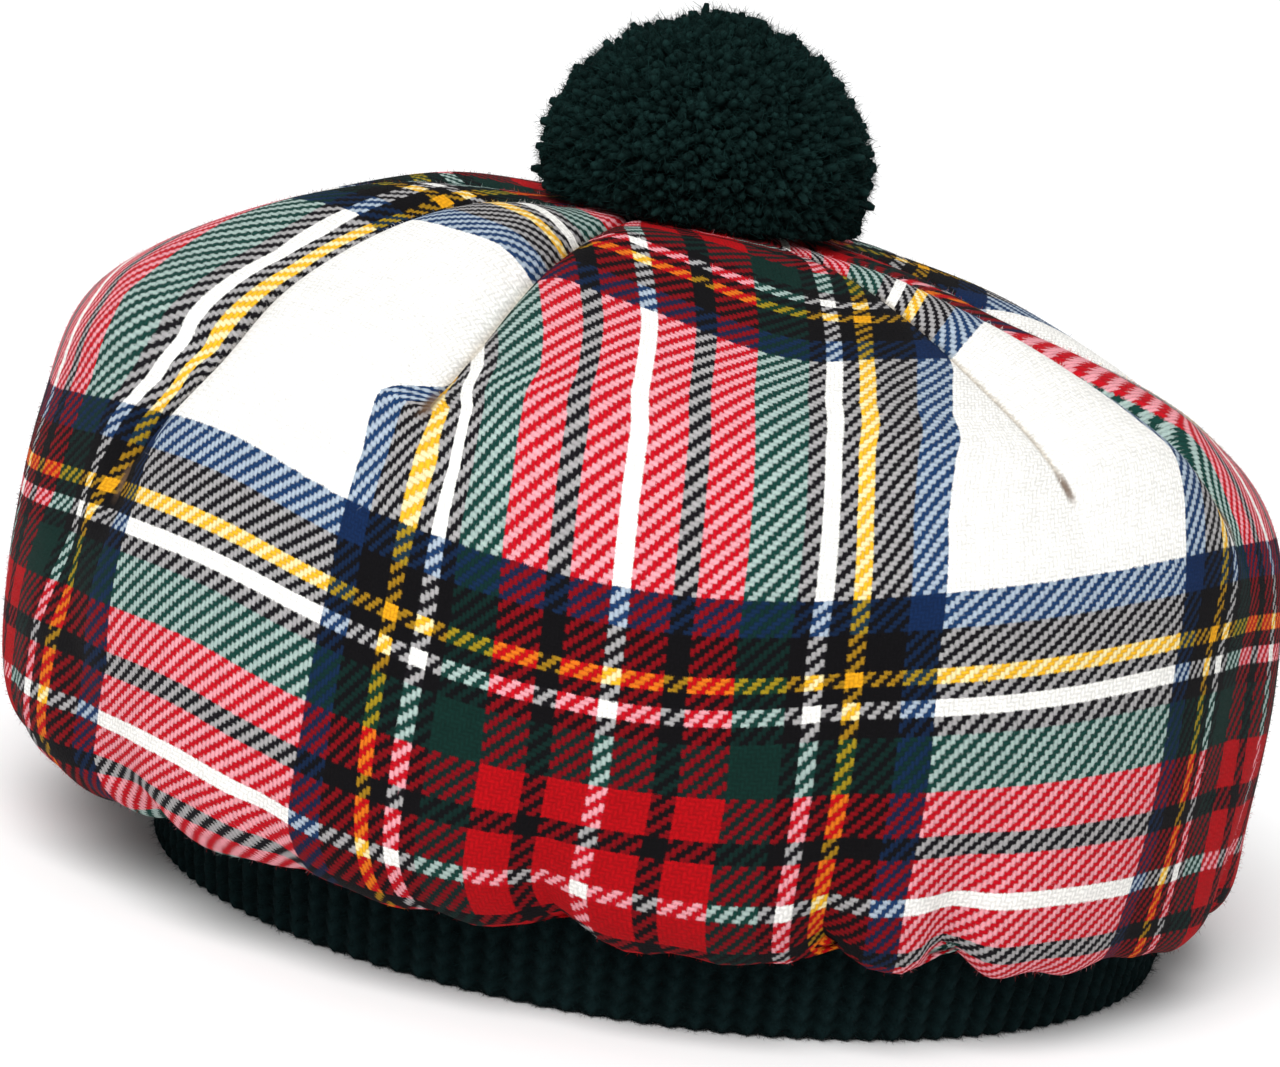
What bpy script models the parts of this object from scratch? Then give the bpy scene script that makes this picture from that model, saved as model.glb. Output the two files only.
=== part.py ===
"""Tam o shanter: a tartan cloth crown gathered into a ribbed knitted headband, with a toorie on its middle.

The hat stands on its headband, front towards -Y. Sizes are in millimetres until the meshes are made.
"""

import math

import bmesh
import bpy
import numpy as np

MM = 0.001
COLLECTION = "tam_o_shanter"

# Headband: a ring of ribbed knitting
HEAD_RADIUS = 94.5  # inside of the ring, for a 59 cm head
BAND_THICKNESS = 6.0  # two layers of knitting, to the tops of the ribs
BAND_HEIGHT = 26.0
BAND_EDGE = 2.2  # rounding of the outer edges
BAND_TAPER = 1.5  # the bottom edge draws in by this much
RIBS = 134
RIB_DEPTH = 1.3
BAND_SHIFT = 9.6  # the crown hangs over to the left, so the ring stands right of its middle

# Crown: one length of cloth, from the hem on the headband out round the rim and up to the middle
CLOTH = 2.0
SEAM_GAP = 0.3  # between sewn pieces
HEM_INSET = 1.5  # from the inside of the headband to the cut edge of the hem
HEM_LAP = 0.7  # the cloth lies flat to this far outside the headband
RIM_RADIUS = 122.0
CROWN_RISE = 105.0  # from the seam to the middle
SEAT_RADIUS = 21.0  # flat under the toorie
SEAT_TILT = 1.5  # degrees, down to the right
PUFF_HEIGHT = 2.6  # cloth standing up between two darts
DART_DEPTH = 2.4
DART_WIDTH = 5.0
TIP_DEPTH = 1.8
TIP_WIDTH = 9.0
PUCKER_DEPTH = 3.0
PUCKER_WIDTH = 7.0
FOLD_DEPTH = 2.0
FOLD_WIDTH = 10.0

# Toorie: a dome of cut yarn on the flat of the crown
TOORIE_RADIUS = 31.0
TOORIE_HEIGHT = 30.0  # from the widest ring up to the top
TOORIE_SINK = 10.0  # from the widest ring down to the base
TUFT_LENGTH = 3.0
TUFT_LEAN = 0.17  # share of a tuft's length

# Rows of the crown, for the front, right, back and left of the hat. Rows 0 and 1 lie flat on the headband.
# Under the rim, from row 2
UNDERSIDE = (
    # share of the way from a hanging cloth beside the headband out to the rim; share of the crown's rise
    ((0.093, 0.107, 0.093, 0.107), (-0.045, -0.055, -0.050, -0.045)),  # turning down
    ((0.387, 0.467, 0.400, 0.493), (-0.090, -0.122, -0.105, -0.095)),  # lowest hang
    ((0.787, 0.840, 0.813, 0.840), (-0.038, -0.080, -0.060, -0.050)),
    ((1.027, 0.973, 1.000, 0.973), (0.097, 0.060, 0.070, 0.070)),
    ((1.107, 1.000, 1.053, 0.987), (0.328, 0.310, 0.300, 0.293)),  # rim
)
# Over the rim, from row 7
TOPSIDE = (
    # share of the rim radius; share of the crown's rise
    ((0.983, 0.970, 0.980, 0.974), (0.560, 0.559, 0.535, 0.512)),
    ((0.876, 0.861, 0.876, 0.915), (0.748, 0.743, 0.725, 0.708)),  # shoulder
    ((0.681, 0.662, 0.681, 0.728), (0.878, 0.860, 0.853, 0.847)),
    ((0.446, 0.417, 0.446, 0.487), (0.975, 0.940, 0.945, 0.950)),
)

# Darts: sewn lines from the middle to a tip above the rim
DARTS = (
    # azimuth at the tip and by the middle in degrees, row of the tip
    (-103.0, -97.0, 7.3),
    (-55.0, -50.0, 6.8),
    (-23.0, -25.0, 7.9),
    (39.0, 38.0, 7.8),
    (63.5, 54.0, 7.5),
    (110.0, 106.0, 7.4),
    (159.0, 158.0, 7.6),
    (208.0, 210.0, 7.5),
)

# Puckers: where the gathers pull the cloth in over the headband
PUCKERS = (
    # azimuth in degrees, share of the depth, share of the width
    (-152.0, 0.8, 1.0),
    (-133.0, 1.0, 1.2),
    (-112.0, 0.7, 0.9),
    (-94.0, 0.9, 1.1),
    (-71.0, 0.5, 1.0),
    (-47.0, 0.6, 1.3),
    (-30.0, 0.4, 0.9),
    (-13.0, 1.0, 1.0),
    (19.0, 0.9, 0.8),
    (31.0, 1.1, 1.0),
    (52.0, 0.4, 1.0),
    (74.0, 0.7, 1.1),
    (97.0, 0.9, 1.0),
    (113.0, 0.8, 0.9),
    (134.0, 1.0, 1.2),
    (157.0, 0.7, 1.0),
    (179.0, 0.9, 1.1),
)

# Folds: soft creases that run across the cloth
FOLDS = (
    # azimuth and row at the low end, azimuth and row at the high end, share of the depth, share of the width
    (-50.0, 4.0, -61.0, 6.6, 1.0, 1.0),
    (18.0, 3.5, 16.0, 8.4, 0.6, 0.8),
    (58.0, 4.0, 66.0, 6.4, 0.7, 1.2),
    (122.0, 4.0, 116.0, 6.8, 0.8, 1.2),
    (190.0, 4.0, 197.0, 6.6, 0.8, 1.2),
)

# How finely the crown is divided
COLUMNS_PER_GORE = 12
BUNCHING_SHARE = 0.5
OUTER_ROWS = (0, 1, 1.5, 2, 2.5, 3, 3.5, 4, 4.5, 5, 5.6, 6.2, 6.8, 7.3, 7.8, 8.3, 8.8, 9.3, 9.9, 10.5, 11)
INNER_ROWS = (0, 1, 2, 3, 4, 5, 6, 7, 8, 9, 10, 11)

COLOURS = {
    # red, green and blue of the whole piece, roughness
    "crown": ((0.33, 0.05, 0.06), 0.9),
    "headband": ((0.008, 0.022, 0.020), 0.95),
    "toorie": ((0.008, 0.024, 0.021), 0.98),
}


def seam_height():
    """Height of the cloth where it lies on the headband."""
    return BAND_HEIGHT + SEAM_GAP


def band_radius():
    """Outside of the headband, at the tops of the ribs."""
    return HEAD_RADIUS + BAND_THICKNESS


def rim_row():
    """Number of the first row over the rim."""
    return 2 + len(UNDERSIDE)


def seat_row():
    """Number of the last row, where the flat under the toorie starts."""
    return rim_row() + len(TOPSIDE)


def section_rows():
    """Radius and height of every row of the crown at the four sides, as an array of row, (radius, height), side."""
    under_out, under_up = (np.array([row[i] for row in UNDERSIDE]) for i in (0, 1))
    top_out, top_up = (np.array([row[i] for row in TOPSIDE]) for i in (0, 1))
    hang = band_radius() + CLOTH
    radius = np.vstack([
        np.full((1, 4), HEAD_RADIUS + HEM_INSET),
        np.full((1, 4), band_radius() + HEM_LAP),
        hang + under_out * (RIM_RADIUS - hang),
        top_out * RIM_RADIUS,
        np.full((1, 4), SEAT_RADIUS),
    ])
    rise = np.vstack([np.zeros((2, 4)), under_up, top_up, np.ones((1, 4))])
    return np.stack([radius, seam_height() + CROWN_RISE * rise], axis=1)


def through_points(rows, at):
    """Smooth curve through the rows (Catmull-Rom), and its slope, at the row numbers given."""
    padded = np.concatenate([[2 * rows[0] - rows[1]], rows, [2 * rows[-1] - rows[-2]]])
    low = np.clip(np.floor(at).astype(int), 0, len(rows) - 2)
    t = (at - low).reshape(-1, *[1] * (rows.ndim - 1))
    a, b, c, d = (padded[low + i] for i in range(4))
    curve = b + 0.5 * t * (c - a + t * (2 * a - 5 * b + 4 * c - d + t * (3 * (b - c) + d - a)))
    slope = 0.5 * (c - a) + t * (2 * a - 5 * b + 4 * c - d) + 1.5 * t * t * (3 * (b - c) + d - a)
    return curve, slope


def round_the_hat(values, azimuth):
    """Values of each row at the four sides, carried round by the first two harmonics."""
    front, right, back, left = values.T[..., None]
    mean = (front + right + back + left) / 4
    twice = (front + back - right - left) / 4
    return (
        mean
        + (front - back) / 2 * np.cos(azimuth)
        + (right - left) / 2 * np.sin(azimuth)
        + twice * np.cos(2 * azimuth)
    )


def smooth_step(low, high, value):
    t = np.clip((value - low) / (high - low), 0, 1)
    return t * t * (3 - 2 * t)


def angle_between(a, b):
    return (a - b + math.pi) % (2 * math.pi) - math.pi


def dart_azimuths(row):
    """Azimuth of every dart, and of the first one again after a full turn, at each row."""
    tip, middle, tip_row = (np.array(column) for column in zip(*DARTS))
    share = smooth_step(tip_row, tip_row + 2.5, row)
    azimuth = np.radians(tip + (middle - tip) * share)
    return np.concatenate([azimuth, azimuth[:, :1] + 2 * math.pi], axis=1)


def azimuth_of(column, row):
    """Azimuth of each column at each row. Whole column numbers are darts and the rest lie between them."""
    marks = dart_azimuths(row)
    gore = np.floor(column).astype(int)
    return marks[:, gore] + (marks[:, gore + 1] - marks[:, gore]) * (column - gore)


def relief(column, azimuth, row, radius):
    """How far the cloth stands out from the smooth section: puffs, darts, puckers and folds."""
    inside_seat = 1 - smooth_step(seat_row() - 1, seat_row(), row)
    above = smooth_step(6.0, 9.0, row) * inside_seat
    height = PUFF_HEIGHT * above * np.sin(math.pi * (column % 1)) ** 0.8
    for mark, (_, _, tip_row) in zip(dart_azimuths(row).T, DARTS):
        across = radius * angle_between(azimuth, mark[:, None])
        groove = np.exp(-((across / DART_WIDTH) ** 2)) * smooth_step(tip_row - 0.8, tip_row + 0.8, row)
        dimple = np.exp(-((across / TIP_WIDTH) ** 2) - ((row - tip_row) / 0.5) ** 2)
        height = height - DART_DEPTH * groove * inside_seat - TIP_DEPTH * dimple
    for centre, depth, width in PUCKERS:
        across = radius * angle_between(azimuth, math.radians(centre))
        along = smooth_step(1.2, 2.4, row) * (1 - smooth_step(3.5, 6.0, row))
        dent = np.exp(-((across / (width * PUCKER_WIDTH)) ** 2))
        height = height - depth * PUCKER_DEPTH * dent * along
    for first, first_row, second, second_row, depth, width in FOLDS:
        share_up = np.clip((row - first_row) / (second_row - first_row), 0, 1)
        across = radius * angle_between(azimuth, np.radians(first + (second - first) * share_up))
        ends = smooth_step(first_row - 1, first_row + 0.5, row)
        ends = ends * (1 - smooth_step(second_row - 0.5, second_row + 1, row))
        dent = np.exp(-((across / (width * FOLD_WIDTH)) ** 2))
        height = height - depth * FOLD_DEPTH * dent * ends
    return height


def crown_points(column, at, inside):
    """Points of the crown at the columns and rows given: its outer face, or the face inside it."""
    at = np.asarray(at, float)
    row = at[:, None]
    azimuth = azimuth_of(column, row)
    curve, slope = through_points(section_rows(), at)
    radius, height = (round_the_hat(curve[:, i], azimuth) for i in (0, 1))
    along_radius, along_height = (round_the_hat(slope[:, i], azimuth) for i in (0, 1))
    length = np.hypot(along_radius, along_height)
    out_radius, out_height = along_height / length, -along_radius / length
    shift = BAND_SHIFT * (1 - smooth_step(1, 5, row))
    lift = relief(column, azimuth, row, radius) - (CLOTH if inside else 0.0)
    radius, height = radius + lift * out_radius, height + lift * out_height
    x = shift + radius * np.sin(azimuth)
    y = -radius * np.cos(azimuth)
    tilted = -math.tan(math.radians(SEAT_TILT)) * x * smooth_step(rim_row(), rim_row() + 3, row)
    return np.stack([x, y, height + tilted], axis=-1)


def gore_columns():
    """Numbers of the columns, bunched towards each dart so that every dart has a column of its own."""
    t = np.arange(COLUMNS_PER_GORE) / COLUMNS_PER_GORE
    t = t - BUNCHING_SHARE * np.sin(2 * math.pi * t) / (2 * math.pi)
    return (np.arange(len(DARTS))[:, None] + t).ravel()


def ring_quads(rings, columns, first=0):
    """Faces between neighbouring rings of points, facing out when the rings go up and the columns go round."""
    ring, column = np.meshgrid(np.arange(rings - 1), np.arange(columns), indexing="ij")
    low, high = ring * columns, (ring + 1) * columns
    after = (column + 1) % columns
    quads = np.stack([low + column, low + after, high + after, high + column], axis=-1)
    return (quads.reshape(-1, 4) + first).tolist()


def add_piece(name, points, faces):
    """A mesh object from points in millimetres."""
    mesh = bpy.data.meshes.new(name)
    mesh.from_pydata((np.asarray(points) * MM).tolist(), [], faces)
    mesh.validate()
    colour, roughness = COLOURS[name]
    material = bpy.data.materials.new(name)
    material.use_nodes = True
    shader = material.node_tree.nodes["Principled BSDF"]
    shader.inputs["Base Color"].default_value = (*colour, 1.0)
    shader.inputs["Roughness"].default_value = roughness
    shader.inputs["Metallic"].default_value = 0.0
    mesh.materials.append(material)
    piece = bpy.data.objects.new(name, mesh)
    bpy.data.collections[COLLECTION].objects.link(piece)
    return piece


def make_crown():
    """Outer face, inner face, the cut edge at the hem and the two closed middles."""
    column = gore_columns()
    count = len(column)
    outer = crown_points(column, OUTER_ROWS, inside=False)
    inner = crown_points(column, INNER_ROWS, inside=True)
    middles = [outer[-1].mean(axis=0), inner[-1].mean(axis=0)]
    points = np.concatenate([outer.reshape(-1, 3), inner.reshape(-1, 3), middles])
    start = outer.shape[0] * count
    faces = ring_quads(len(OUTER_ROWS), count)
    faces += [quad[::-1] for quad in ring_quads(len(INNER_ROWS), count, start)]
    top, under = len(points) - 2, len(points) - 1
    last_outer, last_inner = start - count, top - count
    for i in range(count):
        j = (i + 1) % count
        faces.append([start + i, start + j, j, i])
        faces.append([last_outer + i, last_outer + j, top])
        faces.append([last_inner + j, last_inner + i, under])
    return add_piece("crown", points, faces)


def make_headband():
    """A ring whose outside goes in and out with the ribs."""
    count = 2 * RIBS
    angle = np.arange(count) * 2 * math.pi / count
    rib = RIB_DEPTH * (np.arange(count) % 2)
    outside = band_radius() - rib
    flat = np.zeros(count)
    inside = np.full(count, HEAD_RADIUS)
    section = (
        (inside - BAND_TAPER, flat),
        (outside - BAND_TAPER - BAND_EDGE, flat),
        (outside - BAND_TAPER, flat + BAND_EDGE),
        (outside, flat + BAND_HEIGHT - BAND_EDGE),
        (outside - BAND_EDGE, flat + BAND_HEIGHT),
        (inside, flat + BAND_HEIGHT),
    )
    points = np.stack([
        np.stack([BAND_SHIFT + r * np.sin(angle), -r * np.cos(angle), z], axis=-1) for r, z in section
    ])
    faces = ring_quads(len(section), count)
    last = (len(section) - 1) * count
    for i in range(count):
        j = (i + 1) % count
        faces.append([last + i, last + j, j, i])
    return add_piece("headband", points.reshape(-1, 3), faces)


def make_toorie():
    """A dome with a flat base, its surface drawn out into pointed tufts."""
    shape = bmesh.new()
    bmesh.ops.create_icosphere(shape, subdivisions=3, radius=TOORIE_RADIUS)
    poked = bmesh.ops.poke(shape, faces=shape.faces[:])
    shape.verts.index_update()
    tips = {vert.index for vert in poked["verts"]}
    points = np.array([vert.co[:] for vert in shape.verts])
    faces = [[vert.index for vert in face.verts] for face in shape.faces]
    shape.free()
    random = np.random.default_rng(11)
    is_tip = np.array([i in tips for i in range(len(points))])
    length = TUFT_LENGTH * (0.7 + 0.6 * random.random(len(points)))
    out = points / np.linalg.norm(points, axis=1, keepdims=True)
    lean = random.normal(0, TUFT_LEAN * TUFT_LENGTH, points.shape)
    points = points + is_tip[:, None] * (out * length[:, None] + lean)
    points[:, 2] *= np.where(points[:, 2] > 0, TOORIE_HEIGHT / TOORIE_RADIUS, 1.0)
    points[:, 2] = np.maximum(points[:, 2], -TOORIE_SINK) + TOORIE_SINK
    tilt = math.radians(SEAT_TILT)
    turned = points.copy()
    turned[:, 0] = points[:, 0] * math.cos(tilt) + points[:, 2] * math.sin(tilt)
    turned[:, 2] = points[:, 2] * math.cos(tilt) - points[:, 0] * math.sin(tilt)
    turned[:, 2] += seam_height() + CROWN_RISE + SEAM_GAP
    return add_piece("toorie", turned, faces)


def main():
    for thing in list(bpy.data.objects):
        bpy.data.objects.remove(thing)
    bpy.context.scene.collection.children.link(bpy.data.collections.new(COLLECTION))
    make_crown()
    make_headband()
    make_toorie()


main()
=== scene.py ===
import math
from functools import partial

import bpy
import numpy as np
from bpy.props import FloatProperty, FloatVectorProperty, IntProperty, PointerProperty
from mathutils import Matrix, Vector


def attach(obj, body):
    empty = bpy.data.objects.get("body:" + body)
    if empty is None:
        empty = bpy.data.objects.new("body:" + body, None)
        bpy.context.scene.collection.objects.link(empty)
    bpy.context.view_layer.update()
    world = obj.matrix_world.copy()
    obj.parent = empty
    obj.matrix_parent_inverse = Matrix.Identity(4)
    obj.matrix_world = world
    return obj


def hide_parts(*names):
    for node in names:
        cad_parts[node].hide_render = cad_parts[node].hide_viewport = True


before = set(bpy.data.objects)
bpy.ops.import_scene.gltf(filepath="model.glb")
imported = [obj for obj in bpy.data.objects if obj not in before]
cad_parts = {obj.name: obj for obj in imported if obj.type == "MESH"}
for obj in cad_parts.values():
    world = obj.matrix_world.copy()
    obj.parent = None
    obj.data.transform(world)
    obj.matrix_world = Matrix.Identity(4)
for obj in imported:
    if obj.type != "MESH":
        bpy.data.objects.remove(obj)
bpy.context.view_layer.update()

bl_info = {
    "name": "Tam o shanter",
    "version": (1, 0, 0),
    "blender": (4, 5, 0),
    "location": "View3D > Sidebar > Tam",
    "description": "Tartan crown, ribbed headband and toorie of a tam, on a pale stage",
    "category": "Add Mesh",
}

TAU = 2 * math.pi

# The shape of the hat, in metres. Front is -Y, azimuth 0, and azimuth grows towards +X.

HEAD_RADIUS = 0.0945
BAND_THICKNESS = 0.006
BAND_HEIGHT = 0.026
BAND_TAPER = 0.0015
BAND_SHIFT = 0.0096
RIBS = 134
CLOTH = 0.002
SEAM_GAP = 0.0003
HEM_INSET = 0.0015
HEM_LAP = 0.0007
RIM_RADIUS = 0.122
CROWN_RISE = 0.105
SEAT_RADIUS = 0.021
SEAT_TILT = math.radians(1.5)
PUFF_HEIGHT = 0.0026
DART_DEPTH = 0.0024
DART_WIDTH = 0.005
STITCH_DEPTH = 0.0009
STITCH_WIDTH = 0.0012
TIP_DEPTH = 0.0018
TIP_WIDTH = 0.009
# Width of the painted seam shade along each dart, and width and length in rows of the painted shadow at its
# tip
CREASE_WIDTH = 0.0007
TIP_SHADOW_WIDTH = 0.0011
TIP_SHADOW_ROWS = 0.13
PUCKER_DEPTH = 0.0045
PUCKER_WIDTH = 0.0062
FOLD_DEPTH = 0.002
FOLD_WIDTH = 0.010
TOORIE_RADIUS = 0.031
TOORIE_HEIGHT = 0.0285
TOORIE_SINK = 0.010
# Share of the toorie's radius where its heart ends and where its yarn ends start
HEART_SHARE = 0.87
ROOT_SHARE = 0.80
# Thickness of a loose fibre of the cloth, the knitting and the yarn, and length of the last
CLOTH_FIBRE = 0.00005
KNIT_FIBRE = 0.00007
YARN_FIBRE = 0.00010
FRAY_LENGTH = 0.0019
# What the camera looks at, and the width of its film in millimetres
TARGET = (-0.0026, 0.0, 0.0684)
FILM = 36.0

# Rows 2 to 6: share of the way from the headband out to the rim, and share of the crown's rise, for the
# front, right, back and left. Rows 0 and 1 lie flat on the headband.
UNDERSIDE = (
    ((0.093, 0.107, 0.093, 0.107), (-0.045, -0.055, -0.050, -0.045)),
    ((0.387, 0.467, 0.400, 0.493), (-0.090, -0.122, -0.105, -0.095)),
    ((0.787, 0.840, 0.813, 0.840), (-0.038, -0.080, -0.060, -0.050)),
    ((1.027, 0.973, 1.000, 0.973), (0.097, 0.060, 0.070, 0.070)),
    ((1.107, 1.000, 1.053, 0.987), (0.328, 0.310, 0.300, 0.293)),
)
# Rows 7 to 10: share of the rim's radius, and share of the crown's rise
TOPSIDE = (
    ((0.983, 0.970, 0.980, 0.974), (0.560, 0.559, 0.535, 0.512)),
    ((0.876, 0.861, 0.876, 0.915), (0.748, 0.743, 0.725, 0.708)),
    ((0.681, 0.662, 0.681, 0.728), (0.878, 0.860, 0.853, 0.847)),
    ((0.446, 0.417, 0.446, 0.487), (0.975, 0.940, 0.945, 0.950)),
)
# Row of the tip of each dart, share of the depth, and its azimuth in degrees at rows 7 to 11
DARTS = (
    (7.3, 1, (-103, -102, -100, -98, -97)),
    (6.8, 1, (-53.7, -47.7, -53, -56, -59)),
    (8.05, 1.2, (-23, -23, -22.4, -24.7, -31)),
    (7.8, 0.3, (39.9, 39.9, 39.1, 38.7, 38)),
    (7.4, 0.7, (66.2, 65.3, 61.6, 56, 52)),
    (7.4, 1, (110, 109.3, 108.3, 107, 106)),
    (7.6, 0.8, (159, 158.9, 158.6, 158.2, 158)),
    (7.5, 1, (208, 208.3, 209, 209.6, 210)),
)
# Azimuth in degrees, share of the depth and of the width of each pucker over the headband
PUCKERS = (
    (-152, 0.8, 1), (-133, 1, 1.2), (-112, 0.7, 0.9), (-94, 0.9, 1.1), (-71, 0.5, 1),
    (-47, 0.6, 1.3), (-30, 0.5, 0.9), (-5.6, 1.1, 0.8), (18.5, 1.2, 0.7), (30, 1.2, 0.9),
    (52, 0.4, 1), (74, 0.7, 1.1), (97, 0.9, 1), (113, 0.8, 0.9), (134, 1, 1.2),
    (157, 0.7, 1), (179, 0.9, 1.1),
)
# Azimuth and row of both ends of each soft fold, share of the depth and of the width
FOLDS = (
    (-50, 4, -61, 6.6, 1, 1), (18, 3.5, 16, 8.4, 0.6, 0.8), (58, 4, 66, 6.4, 0.7, 1.2),
    (122, 4, 116, 6.8, 0.8, 1.2), (190, 4, 197, 6.6, 0.8, 1.2),
    (92, 7.9, 92, 10, 2.6, 2.4),
)
GORES = len(DARTS)

# The lie of the tartan on the crown, counted in threads from the middle of one white line

THREAD = 0.00078
# The cloth is joined into a ring at this azimuth, where the tartan doesn't meet itself
JOIN = -103
# Below the darts: number of a warp, and its azimuth in degrees at each of these rows
WARP_ROWS = (4.5, 5.5, 6.5, 7.5, 8.2)
WARPS = (
    (-277, -103, -103, -103, -103, -103),
    (-184, -74, -71, -65, -62.9, -68),
    (-166, -65, -63.8, -58.9, -54.4, -53.6),
    (-158, -61.2, -60.3, -57.2, -51.6, -50.6),
    (-149, -57, -55.3, -52.8, -49.9, -48),
    (-137, -53, -48.8, -48.8, -48.6, -47),
    (-73, -27.5, -26.2, -25.7, -26, -27.6),
    (-54, -21, -21, -20.5, -21.4, -23.1),
    (-50, -19.8, -19.8, -19.3, -18.9, -20.6),
    (-44, -17.9, -17.4, -16.8, -17.5, -19),
    (-26, -11.8, -11, -11.3, -12.5, -13.8),
    (0, -2.5, -1.7, -1.9, -2.5, -2.7),
    (26, 8, 8.2, 7.4, 7.6, 7.6),
    (44, 14.2, 14.2, 13.6, 14.4, 15.2),
    (52, 17.9, 17.5, 17.3, 17.5, 18.3),
    (73, 24.7, 24.4, 23.8, 24.8, 27.8),
    (137, 49, 49.3, 50.2, 54, 61),
    (158, 54.5, 54.5, 55.2, 62.5, 66.5),
    (166, 57, 57, 57.5, 65.5, 68.5),
    (184, 63, 63, 63.2, 68.3, 72),
    (210, 72.5, 72.5, 72.5, 75, 77),
    (712, 257, 257, 257, 257, 257),
)
# Above the tips: number of the warp at these shares of the way across each gore, at each of these rows
GORE_ROWS = (8.4, 9.0, 10.0, 11.0)
GORE_SHARES = (0.0, 0.25, 0.5, 0.75, 0.9, 1.0)
SHEET_END = 7.95
GORE_WARPS = (
    ((-262, -222, -190, -177, -166, -153), (-242, -200, -184, -175, -167, -153),
     (-202, -186, -174, -166, -159, -148), (-165, -158, -151, -145, -141, -139)),
    ((-135, -121, -107, -92, -81, -73), (-133, -121, -109, -97, -90, -85),
     (-130, -121, -112, -103, -98, -95), (-118, -114, -110, -106, -104, -103)),
    ((-51, -9, 28, 62, 81, 94), (-37, -6, 25, 54, 68, 77),
     (-18, 2, 22, 41, 51, 57), (0, 10, 20, 30, 36, 40)),
    ((106, 117, 127, 137, 147, 154), (112, 119, 127, 136, 145, 151),
     (118, 123, 129, 136, 143, 148), (122, 126, 130, 135, 140, 144)),
    ((182, 188, 194, 240, 275, 298), (183, 188, 193, 235, 265, 285),
     (186, 190, 196, 225, 243, 255), (190, 196, 204, 216, 223, 228)),
    ((321, 350, 379, 407, 424, 436), (329, 354, 379, 403, 418, 428),
     (347, 363, 379, 395, 405, 411), (366, 372, 379, 385, 389, 391)),
    ((454, 483, 512, 542, 559, 571), (463, 488, 512, 537, 552, 562),
     (480, 496, 512, 529, 539, 545), (500, 506, 512, 519, 523, 525)),
    ((589, 617, 646, 675, 692, 703), (597, 621, 646, 671, 685, 695),
     (614, 630, 646, 662, 672, 678), (634, 640, 646, 652, 656, 658)),
)
WEFTS = (0, 44, 73, 139, 168)
# The rows of the crown where those wefts run at a guessed dart and between two, and all round by azimuth
AT_DART = (5.00, 6.50, 7.40, 9.70, 10.40)
BETWEEN = (4.60, 6.15, 7.00, 9.20, 9.90)
WEFT_ROWS = (
    (-103, *AT_DART),
    (-79, 4.80, 6.35, 7.20, 9.45, 10.15),
    (-64, 4.98, 6.48, 7.35, 9.70, 10.40),
    (-50, 5.01, 6.57, 7.46, 9.75, 10.42),
    (-38, 5.05, 6.52, 7.43, 9.66, 10.30),
    (-27, 4.63, 6.32, 7.13, 9.68, 10.30),
    (-14, 4.42, 6.08, 6.92, 9.40, 10.15),
    (-3, 4.55, 6.00, 6.80, 9.16, 9.88),
    (6, 4.45, 6.00, 6.80, 8.88, 9.66),
    (14, 4.51, 6.13, 6.86, 8.78, 9.56),
    (23, 4.70, 6.22, 6.96, 8.97, 9.54),
    (31, 4.75, 6.27, 7.03, 9.07, 9.62),
    (39, 4.86, 6.33, 7.12, 9.22, 9.85),
    (50, 4.90, 6.43, 7.20, 9.50, 10.10),
    (64, 4.93, 6.44, 7.25, 9.65, 10.30),
    (87, 4.75, 6.25, 7.05, 9.30, 10.00),
    (110, *AT_DART),
    (134, *BETWEEN),
    (159, *AT_DART),
    (183, *BETWEEN),
    (208, *AT_DART),
    (232, *BETWEEN),
)
# Last thread of each stripe from the middle of a white line to the middle of the white ground
SETT = (
    (2, "white"), (11, "red"), (16, "black"), (26, "red"), (38, "green"), (42, "black"), (46, "white"),
    (50, "black"), (54, "yellow"), (64, "black"), (73, "blue"), (105, "white"),
)
HALF_SETT = SETT[-1][0]
BUMP_DISTANCE = 0.0004
# How far the edge of a stripe wanders, in threads, in long and in short waves
FRAY = 0.6
FUZZ = 1.2
# Cream-brown tint of each dart's seam line, multiplied in as painted shade along its groove
SEAM_SHADE_TINT = (0.42, 0.36, 0.28, 1.0)
# Painted shadow of the pucker at each dart's tip
TIP_SHADOW_COLOUR = (0.12, 0.07, 0.04, 1.0)


# What a user would change

def colour_property(name, description, default):
    return FloatVectorProperty(name=name, description=description, default=default, subtype="COLOR")


def length_property(name, description, default):
    return FloatProperty(name=name, description=description, default=default, unit="LENGTH")


class CrownSettings(bpy.types.PropertyGroup):
    """Cloth of the crown."""

    columns: IntProperty(
        name="Columns", description="Columns of the mesh between two darts", default=54, min=12, max=90)
    rows: IntProperty(
        name="Rows", description="Rows of the mesh from hem to middle", default=152, min=40, max=240)
    waviness: length_property("Waviness", "Height of the small waves", 0.0006)
    nap: IntProperty(name="Nap", description="Number of loose fibres", default=45000, min=0)
    nap_length: length_property("Nap length", "Length of a loose fibre", 0.0008)
    white: colour_property("White", "White thread", (0.95, 0.94, 0.91))
    red: colour_property("Red", "Red thread", (0.50, 0.002, 0.010))
    black: colour_property("Black", "Black thread", (0.006, 0.005, 0.007))
    green: colour_property("Green", "Green thread", (0.005, 0.043, 0.034))
    yellow: colour_property("Yellow", "Yellow thread", (0.84, 0.45, 0.02))
    blue: colour_property("Blue", "Blue thread", (0.009, 0.037, 0.115))
    tint: FloatProperty(
        name="Tint", description="How far a thread takes on the colour of the ones that it crosses",
        default=0.72, min=0, max=1, subtype="FACTOR")


class HeadbandSettings(bpy.types.PropertyGroup):
    """Ribbed knitting of the headband."""

    rib_depth: length_property("Rib depth", "Depth between two ribs", 0.0008)
    stitch: length_property("Stitch", "Height of one stitch", 0.0033)
    stitch_depth: length_property("Stitch depth", "How far a stitch stands out", 0.0007)
    nap: IntProperty(name="Nap", description="Number of loose fibres", default=56000, min=0)
    nap_length: length_property("Nap length", "Length of a loose fibre", 0.0016)
    colour: colour_property("Colour", "Knitting yarn", (0.003, 0.0085, 0.009))


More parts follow.
